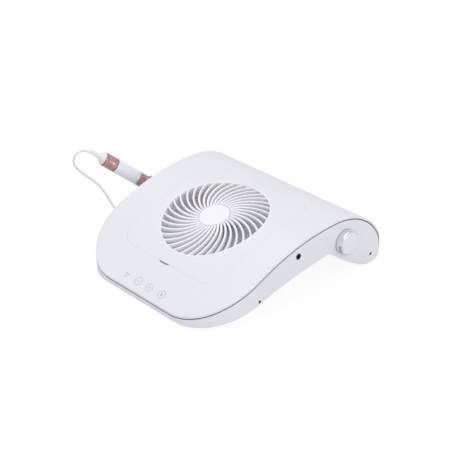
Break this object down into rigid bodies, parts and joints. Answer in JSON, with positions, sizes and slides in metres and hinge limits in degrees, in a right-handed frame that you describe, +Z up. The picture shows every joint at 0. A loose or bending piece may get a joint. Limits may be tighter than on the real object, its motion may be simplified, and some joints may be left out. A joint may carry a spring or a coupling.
{
  "type": "nail dust collector",
  "caption": "Wave-shaped white desktop nail dust collector with a swirl-finned suction grille, touch keys, a speed knob and a drill handpiece leaning in a cup at its side.",
  "frame": {"origin": "middle of the footprint of body, knob and handpiece, on the table", "axes": "+X towards the speed knob's side, +Y from the front lip to the rear roll, +Z up"},
  "size_m": [0.3637, 0.311, 0.1231],
  "materials": {
    "white_shell": "smooth satin-gloss white",
    "pale_plastic": "matt pale moulding",
    "rose_gold": "anodised rose gold",
    "steel": "turned",
    "chrome": "bright plated",
    "grey_rubber": "soft grey",
    "black_plastic": "black moulding",
    "circuit_board": "green solder mask",
    "filter_fleece": "grey non-woven",
    "cord_jacket": "smooth white jacket"
  },
  "bodies": {
    "base": {"bottom_shell": "white_shell", "top_shell": "white_shell", "touch_board": "circuit_board", "case_screws": "steel", "side_plugs": "black_plastic", "front_feet": "grey_rubber", "rear_pads": "grey_rubber", "fan_shroud": "pale_plastic", "motor_mount": "pale_plastic", "fan_motor": "steel", "knob_bezel": "pale_plastic", "potentiometer": "black_plastic", "dc_jack": "black_plastic", "lead_jack": "black_plastic", "control_board": "circuit_board", "holder": "white_shell", "holder_grip": "grey_rubber", "cord_plug": "cord_jacket"},
    "fan": {"fan_shaft": "steel", "fan_impeller": "pale_plastic"},
    "cover": {"cover_panel": "white_shell", "grille": "white_shell", "hub_cap": "white_shell", "filter_frame": "pale_plastic", "filter_media": "filter_fleece"},
    "knob": {"knob_shaft": "steel", "speed_knob": "white_shell", "knob_skirt": "chrome"},
    "handpiece": {"tail_cap": "white_shell", "strain_relief": "cord_jacket", "rear_sleeve": "rose_gold", "barrel": "white_shell", "drill_motor": "steel", "bright_ring": "chrome", "spindle_housing": "steel", "cord_lead": "cord_jacket"},
    "collar": {"twist_collar": "rose_gold"},
    "spindle": {"drill_spindle": "steel", "collet": "steel"}
  },
  "joints": [
    {"name": "fan_spin", "type": "hinge", "parent": "base", "child": "fan", "pos_m": [0.02552, -0.0215, 0.07877], "axis": [0, -0.2672, 0.9636], "continuous": true},
    {"name": "cover_lift", "type": "slide", "parent": "base", "child": "cover", "axis": [0, 0, 1], "range_m": [0, 0.06]},
    {"name": "knob_turn", "type": "hinge", "parent": "base", "child": "knob", "pos_m": [0.16552, 0.0805, 0.056], "axis": [1, 0, 0], "range_deg": [-150, 150]},
    {"name": "handpiece_draw", "type": "slide", "parent": "base", "child": "handpiece", "axis": [-0.3699, -0.6958, 0.6157], "range_m": [0, 0.09]},
    {"name": "collar_twist", "type": "hinge", "parent": "handpiece", "child": "collar", "pos_m": [-0.13898, -0.0005, 0.057], "axis": [0.3699, 0.6958, -0.6157], "range_deg": [0, 60]},
    {"name": "spindle_spin", "type": "hinge", "parent": "handpiece", "child": "spindle", "pos_m": [-0.13898, -0.0005, 0.057], "axis": [0.3699, 0.6958, -0.6157], "continuous": true}
  ]
}
